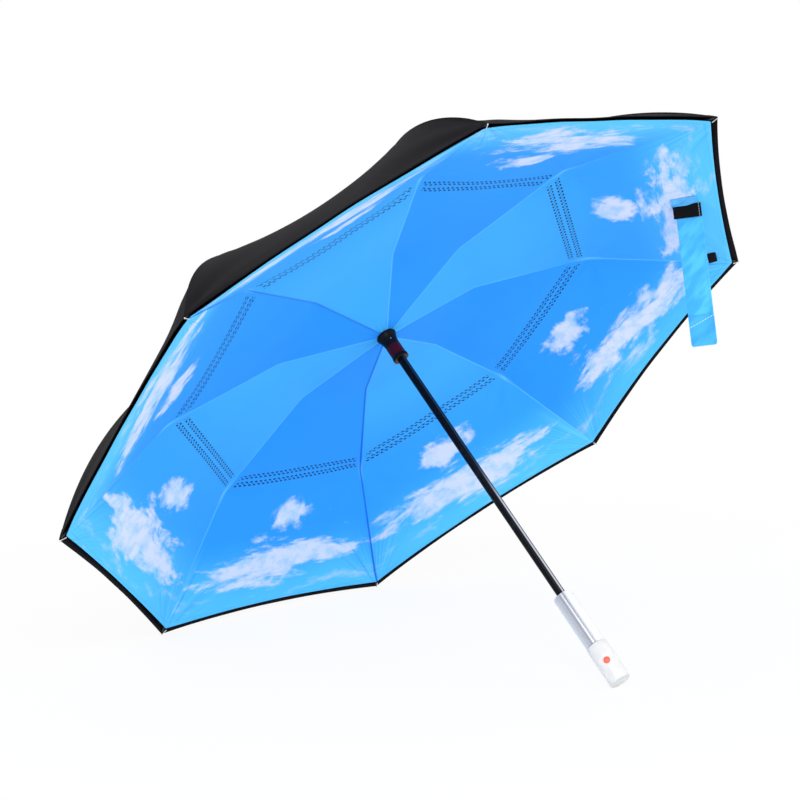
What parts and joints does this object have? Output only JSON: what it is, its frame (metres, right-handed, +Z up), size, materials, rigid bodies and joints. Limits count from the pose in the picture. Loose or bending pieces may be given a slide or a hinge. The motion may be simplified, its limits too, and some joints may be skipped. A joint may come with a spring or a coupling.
{
  "type": "reverse-folding umbrella",
  "caption": "Open reverse-folding umbrella with a printed inner cover, a black outer cover, a straight clear handle and a push button, lying on its rim.",
  "frame": {"origin": "on the floor under the middle of the open umbrella's bounding box", "axes": "+Z up from the floor; the handle's end touches the floor towards -Y and the crown is towards +Y; +X is across"},
  "size_m": [0.985, 0.7088, 0.7082],
  "materials": {
    "black_steel": "glossy",
    "zinc_steel": "satin",
    "fibreglass": "matt",
    "black_plastic": "satin",
    "red_plastic": "gloss",
    "brass": "satin",
    "sky_cloth": "smooth weave",
    "black_cloth": "matt weave",
    "clear_acrylic": "clear",
    "polished_aluminium": "polished",
    "orange_plastic": "satin",
    "blue_webbing": "smooth weave",
    "black_pile": "pile"
  },
  "bodies": {
    "body": {"shaft": "black_steel", "crown": "black_plastic", "crown_wire": "zinc_steel", "top_cap": "black_plastic", "grip": "clear_acrylic", "handle_liner": "polished_aluminium", "button_spring": "zinc_steel", "outer_cover": "black_cloth"},
    "runner": {"runner": "black_plastic", "runner_band": "red_plastic", "runner_bush": "brass", "runner_wire": "zinc_steel", "lining": "sky_cloth", "tie_strap": "blue_webbing", "hook_pad": "black_pile", "loop_pad": "black_pile"},
    "button": {"button": "orange_plastic"},
    "stretcher_1": {"stretcher_1": "zinc_steel"},
    "inner_rib_1": {"inner_rib_1": "zinc_steel"},
    "middle_rib_1": {"middle_rib_1": "zinc_steel"},
    "outer_rib_1": {"outer_rib_1": "fibreglass", "rib_tip_1": "black_plastic"},
    "stretcher_2": {"stretcher_2": "zinc_steel"},
    "inner_rib_2": {"inner_rib_2": "zinc_steel"},
    "middle_rib_2": {"middle_rib_2": "zinc_steel"},
    "outer_rib_2": {"outer_rib_2": "fibreglass", "rib_tip_2": "black_plastic"},
    "stretcher_3": {"stretcher_3": "zinc_steel"},
    "inner_rib_3": {"inner_rib_3": "zinc_steel"},
    "middle_rib_3": {"middle_rib_3": "zinc_steel"},
    "outer_rib_3": {"outer_rib_3": "fibreglass", "rib_tip_3": "black_plastic"},
    "stretcher_4": {"stretcher_4": "zinc_steel"},
    "inner_rib_4": {"inner_rib_4": "zinc_steel"},
    "middle_rib_4": {"middle_rib_4": "zinc_steel"},
    "outer_rib_4": {"outer_rib_4": "fibreglass", "rib_tip_4": "black_plastic"},
    "stretcher_5": {"stretcher_5": "zinc_steel"},
    "inner_rib_5": {"inner_rib_5": "zinc_steel"},
    "middle_rib_5": {"middle_rib_5": "zinc_steel"},
    "outer_rib_5": {"outer_rib_5": "fibreglass", "rib_tip_5": "black_plastic"},
    "stretcher_6": {"stretcher_6": "zinc_steel"},
    "inner_rib_6": {"inner_rib_6": "zinc_steel"},
    "middle_rib_6": {"middle_rib_6": "zinc_steel"},
    "outer_rib_6": {"outer_rib_6": "fibreglass", "rib_tip_6": "black_plastic"},
    "stretcher_7": {"stretcher_7": "zinc_steel"},
    "inner_rib_7": {"inner_rib_7": "zinc_steel"},
    "middle_rib_7": {"middle_rib_7": "zinc_steel"},
    "outer_rib_7": {"outer_rib_7": "fibreglass", "rib_tip_7": "black_plastic"},
    "stretcher_8": {"stretcher_8": "zinc_steel"},
    "inner_rib_8": {"inner_rib_8": "zinc_steel"},
    "middle_rib_8": {"middle_rib_8": "zinc_steel"},
    "outer_rib_8": {"outer_rib_8": "fibreglass", "rib_tip_8": "black_plastic"}
  },
  "joints": [
    {"name": "fold", "type": "hinge", "parent": "body", "child": "stretcher_1", "pos_m": [0.01247, 0.13394, 0.47802], "axis": [-0.3827, 0.6512, -0.6554], "range_deg": [0, 70], "deforming": ["lining", "outer_cover", "tie_strap", "hook_pad", "loop_pad"]},
    {"name": "knee_1", "type": "hinge", "parent": "stretcher_1", "child": "inner_rib_1", "pos_m": [0.14321, 0.14521, 0.41288], "axis": [0.3827, -0.6512, 0.6554], "range_deg": [0, 140]},
    {"name": "runner_hinge_1", "type": "hinge", "parent": "inner_rib_1", "child": "runner", "pos_m": [0.01247, 0.08014, 0.42457], "axis": [-0.3827, 0.6512, -0.6554], "range_deg": [0, 70]},
    {"name": "crown_hinge_2", "type": "hinge", "parent": "body", "child": "stretcher_2", "pos_m": [0.00517, 0.13909, 0.47284], "axis": [-0.9239, 0.2697, -0.2715], "range_deg": [0, 70]},
    {"name": "runner_hinge_2", "type": "hinge", "parent": "runner", "child": "inner_rib_2", "pos_m": [0.00517, 0.08529, 0.41939], "axis": [0.9239, -0.2697, 0.2715], "range_deg": [0, 70]},
    {"name": "crown_hinge_3", "type": "hinge", "parent": "body", "child": "stretcher_3", "pos_m": [-0.00517, 0.13909, 0.47284], "axis": [-0.9239, -0.2697, 0.2715], "range_deg": [0, 70]},
    {"name": "runner_hinge_3", "type": "hinge", "parent": "runner", "child": "inner_rib_3", "pos_m": [-0.00517, 0.08529, 0.41939], "axis": [0.9239, 0.2697, -0.2715], "range_deg": [0, 70]},
    {"name": "crown_hinge_4", "type": "hinge", "parent": "body", "child": "stretcher_4", "pos_m": [-0.01247, 0.13394, 0.47802], "axis": [-0.3827, -0.6512, 0.6554], "range_deg": [0, 70]},
    {"name": "runner_hinge_4", "type": "hinge", "parent": "runner", "child": "inner_rib_4", "pos_m": [-0.01247, 0.08014, 0.42457], "axis": [0.3827, 0.6512, -0.6554], "range_deg": [0, 70]},
    {"name": "crown_hinge_5", "type": "hinge", "parent": "body", "child": "stretcher_5", "pos_m": [-0.01247, 0.12665, 0.48535], "axis": [0.3827, -0.6512, 0.6554], "range_deg": [0, 70]},
    {"name": "runner_hinge_5", "type": "hinge", "parent": "runner", "child": "inner_rib_5", "pos_m": [-0.01247, 0.07286, 0.4319], "axis": [-0.3827, 0.6512, -0.6554], "range_deg": [0, 70]},
    {"name": "crown_hinge_6", "type": "hinge", "parent": "body", "child": "stretcher_6", "pos_m": [-0.00517, 0.12151, 0.49053], "axis": [0.9239, -0.2697, 0.2715], "range_deg": [0, 70]},
    {"name": "runner_hinge_6", "type": "hinge", "parent": "runner", "child": "inner_rib_6", "pos_m": [-0.00517, 0.06771, 0.43708], "axis": [-0.9239, 0.2697, -0.2715], "range_deg": [0, 70]},
    {"name": "crown_hinge_7", "type": "hinge", "parent": "body", "child": "stretcher_7", "pos_m": [0.00517, 0.12151, 0.49053], "axis": [0.9239, 0.2697, -0.2715], "range_deg": [0, 70]},
    {"name": "runner_hinge_7", "type": "hinge", "parent": "runner", "child": "inner_rib_7", "pos_m": [0.00517, 0.06771, 0.43708], "axis": [-0.9239, -0.2697, 0.2715], "range_deg": [0, 70]},
    {"name": "crown_hinge_8", "type": "hinge", "parent": "body", "child": "stretcher_8", "pos_m": [0.01247, 0.12665, 0.48535], "axis": [0.3827, 0.6512, -0.6554], "range_deg": [0, 70]},
    {"name": "runner_hinge_8", "type": "hinge", "parent": "runner", "child": "inner_rib_8", "pos_m": [0.01247, 0.07286, 0.4319], "axis": [-0.3827, -0.6512, 0.6554], "range_deg": [0, 70]},
    {"name": "rib_knee_1", "type": "hinge", "parent": "inner_rib_1", "child": "middle_rib_1", "pos_m": [0.14321, 0.14521, 0.41288], "axis": [0.3827, -0.6512, 0.6554], "range_deg": [0, 31.5]},
    {"name": "rib_elbow_1", "type": "hinge", "parent": "middle_rib_1", "child": "outer_rib_1", "pos_m": [0.30768, 0.16021, 0.33175], "axis": [0.3827, -0.6512, 0.6554], "range_deg": [0, 14]},
    {"name": "rib_knee_2", "type": "hinge", "parent": "inner_rib_2", "child": "middle_rib_2", "pos_m": [0.05932, 0.20433, 0.35337], "axis": [0.9239, -0.2697, 0.2715], "range_deg": [0, 31.5]},
    {"name": "rib_elbow_2", "type": "hinge", "parent": "middle_rib_2", "child": "outer_rib_2", "pos_m": [0.12744, 0.28724, 0.2039], "axis": [0.9239, -0.2697, 0.2715], "range_deg": [0, 14]},
    {"name": "rib_knee_3", "type": "hinge", "parent": "inner_rib_3", "child": "middle_rib_3", "pos_m": [-0.05932, 0.20433, 0.35337], "axis": [0.9239, 0.2697, -0.2715], "range_deg": [0, 31.5]},
    {"name": "rib_elbow_3", "type": "hinge", "parent": "middle_rib_3", "child": "outer_rib_3", "pos_m": [-0.12744, 0.28724, 0.2039], "axis": [0.9239, 0.2697, -0.2715], "range_deg": [0, 14]},
    {"name": "rib_knee_4", "type": "hinge", "parent": "inner_rib_4", "child": "middle_rib_4", "pos_m": [-0.14321, 0.14521, 0.41288], "axis": [0.3827, 0.6512, -0.6554], "range_deg": [0, 31.5]},
    {"name": "rib_elbow_4", "type": "hinge", "parent": "middle_rib_4", "child": "outer_rib_4", "pos_m": [-0.30768, 0.16021, 0.33175], "axis": [0.3827, 0.6512, -0.6554], "range_deg": [0, 14]},
    {"name": "rib_knee_5", "type": "hinge", "parent": "inner_rib_5", "child": "middle_rib_5", "pos_m": [-0.14321, 0.06159, 0.49704], "axis": [-0.3827, 0.6512, -0.6554], "range_deg": [0, 31.5]},
    {"name": "rib_elbow_5", "type": "hinge", "parent": "middle_rib_5", "child": "outer_rib_5", "pos_m": [-0.30768, -0.01944, 0.51257], "axis": [-0.3827, 0.6512, -0.6554], "range_deg": [0, 14]},
    {"name": "rib_knee_6", "type": "hinge", "parent": "inner_rib_6", "child": "middle_rib_6", "pos_m": [-0.05932, 0.00246, 0.55655], "axis": [-0.9239, 0.2697, -0.2715], "range_deg": [0, 31.5]},
    {"name": "rib_elbow_6", "type": "hinge", "parent": "middle_rib_6", "child": "outer_rib_6", "pos_m": [-0.12744, -0.14647, 0.64043], "axis": [-0.9239, 0.2697, -0.2715], "range_deg": [0, 14]},
    {"name": "rib_knee_7", "type": "hinge", "parent": "inner_rib_7", "child": "middle_rib_7", "pos_m": [0.05932, 0.00246, 0.55655], "axis": [-0.9239, -0.2697, 0.2715], "range_deg": [0, 31.5]},
    {"name": "rib_elbow_7", "type": "hinge", "parent": "middle_rib_7", "child": "outer_rib_7", "pos_m": [0.12744, -0.14647, 0.64043], "axis": [-0.9239, -0.2697, 0.2715], "range_deg": [0, 14]},
    {"name": "rib_knee_8", "type": "hinge", "parent": "inner_rib_8", "child": "middle_rib_8", "pos_m": [0.14321, 0.06159, 0.49704], "axis": [-0.3827, -0.6512, 0.6554], "range_deg": [0, 31.5]},
    {"name": "rib_elbow_8", "type": "hinge", "parent": "middle_rib_8", "child": "outer_rib_8", "pos_m": [0.30768, -0.01944, 0.51257], "axis": [-0.3827, -0.6512, 0.6554], "range_deg": [0, 14]},
    {"name": "button_press", "type": "slide", "parent": "body", "child": "button", "axis": [0.7071, 0.4984, -0.5016], "range_m": [0, 0.001], "stiffness_N_per_m": 400, "springref_m": -0.002, "deforming": ["button_spring"]}
  ],
  "couplings": [
    {"joint": "knee_1", "follows": "fold", "ratio": 2},
    {"joint": "runner_hinge_1", "follows": "fold", "ratio": 1},
    {"joint": "crown_hinge_2", "follows": "fold", "ratio": 1},
    {"joint": "runner_hinge_2", "follows": "fold", "ratio": 1},
    {"joint": "crown_hinge_3", "follows": "fold", "ratio": 1},
    {"joint": "runner_hinge_3", "follows": "fold", "ratio": 1},
    {"joint": "crown_hinge_4", "follows": "fold", "ratio": 1},
    {"joint": "runner_hinge_4", "follows": "fold", "ratio": 1},
    {"joint": "crown_hinge_5", "follows": "fold", "ratio": 1},
    {"joint": "runner_hinge_5", "follows": "fold", "ratio": 1},
    {"joint": "crown_hinge_6", "follows": "fold", "ratio": 1},
    {"joint": "runner_hinge_6", "follows": "fold", "ratio": 1},
    {"joint": "crown_hinge_7", "follows": "fold", "ratio": 1},
    {"joint": "runner_hinge_7", "follows": "fold", "ratio": 1},
    {"joint": "crown_hinge_8", "follows": "fold", "ratio": 1},
    {"joint": "runner_hinge_8", "follows": "fold", "ratio": 1},
    {"joint": "rib_knee_1", "follows": "fold", "ratio": 0.45},
    {"joint": "rib_elbow_1", "follows": "fold", "ratio": 0.2},
    {"joint": "rib_knee_2", "follows": "fold", "ratio": 0.45},
    {"joint": "rib_elbow_2", "follows": "fold", "ratio": 0.2},
    {"joint": "rib_knee_3", "follows": "fold", "ratio": 0.45},
    {"joint": "rib_elbow_3", "follows": "fold", "ratio": 0.2},
    {"joint": "rib_knee_4", "follows": "fold", "ratio": 0.45},
    {"joint": "rib_elbow_4", "follows": "fold", "ratio": 0.2},
    {"joint": "rib_knee_5", "follows": "fold", "ratio": 0.45},
    {"joint": "rib_elbow_5", "follows": "fold", "ratio": 0.2},
    {"joint": "rib_knee_6", "follows": "fold", "ratio": 0.45},
    {"joint": "rib_elbow_6", "follows": "fold", "ratio": 0.2},
    {"joint": "rib_knee_7", "follows": "fold", "ratio": 0.45},
    {"joint": "rib_elbow_7", "follows": "fold", "ratio": 0.2},
    {"joint": "rib_knee_8", "follows": "fold", "ratio": 0.45},
    {"joint": "rib_elbow_8", "follows": "fold", "ratio": 0.2}
  ]
}
